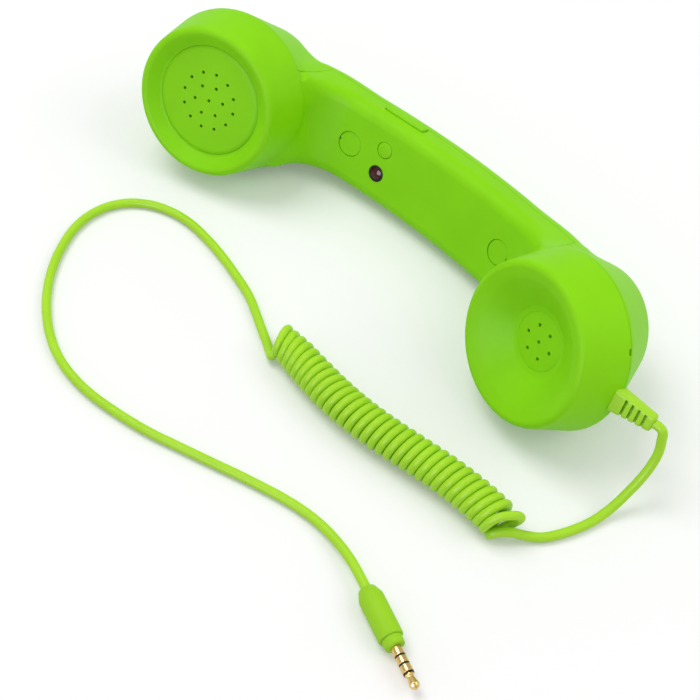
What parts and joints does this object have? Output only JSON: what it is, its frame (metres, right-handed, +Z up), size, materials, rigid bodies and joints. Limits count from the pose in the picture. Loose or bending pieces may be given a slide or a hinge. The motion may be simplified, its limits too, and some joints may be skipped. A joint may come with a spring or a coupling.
{
  "type": "corded retro handset",
  "caption": "Corded two-cup telephone handset with an arched handle, answer button, lamp and volume rocker, a curly cord and a four-pole audio plug",
  "frame": {"origin": "on the surface that the handset lies on, under the middle of the handset's box without its cord", "axes": "+X from the earpiece to the mouthpiece, +Z up, -Y the side that the two cups face"},
  "size_m": [0.2374, 0.1585, 0.0599],
  "materials": {
    "body_plastic": "soft-touch lime green",
    "cord_rubber": "smooth yellow-green jacket",
    "gold_plate": "gold-plated contacts",
    "steel": "zinc-plated",
    "black_rubber": "soft black",
    "black_plastic": "black",
    "board": "green solder mask",
    "lamp_red": "dark red translucent lens"
  },
  "bodies": {
    "handset": {"front_shell": "body_plastic", "back_shell": "body_plastic", "ear_cap": "body_plastic", "ear_grille": "body_plastic", "ear_gasket": "black_rubber", "speaker_frame": "steel", "speaker_cone": "black_plastic", "speaker_magnet": "steel", "speaker_retainer": "black_plastic", "mouth_cap": "body_plastic", "mouth_grille": "body_plastic", "mic_boot": "black_rubber", "mic_capsule": "steel", "circuit_board": "board", "board_screws": "steel", "answer_switch": "black_plastic", "rocker_bracket": "black_plastic", "volume_switches": "black_plastic", "lamp_ring": "black_plastic", "lamp_lens": "lamp_red", "screw_covers": "body_plastic", "case_screws": "steel", "ballast_bar": "steel", "ballast_screws": "steel", "strain_relief": "cord_rubber", "cord_lead": "cord_rubber", "cord_coil": "cord_rubber", "cord_tail": "cord_rubber", "plug_grip": "cord_rubber", "plug_collar": "gold_plate", "plug_sleeve": "gold_plate", "plug_ring_rear": "gold_plate", "plug_ring_front": "gold_plate", "plug_tip": "gold_plate", "plug_insulators": "black_plastic"},
    "answer_button": {"answer_button": "body_plastic"},
    "volume_rocker": {"volume_rocker": "body_plastic", "rocker_pin": "steel"}
  },
  "joints": [
    {"name": "answer_press", "type": "slide", "parent": "handset", "child": "answer_button", "axis": [-0.0961, 0.9255, -0.3663], "range_m": [0, 0.0006], "stiffness_N_per_m": 400, "springref_m": -0.0003},
    {"name": "volume_tilt", "type": "hinge", "parent": "handset", "child": "volume_rocker", "pos_m": [-0.02293, 0.02477, 0.02957], "axis": [0.0961, -0.9255, 0.3663], "range_deg": [-3, 3], "stiffness_Nm_per_rad": 0.05}
  ]
}
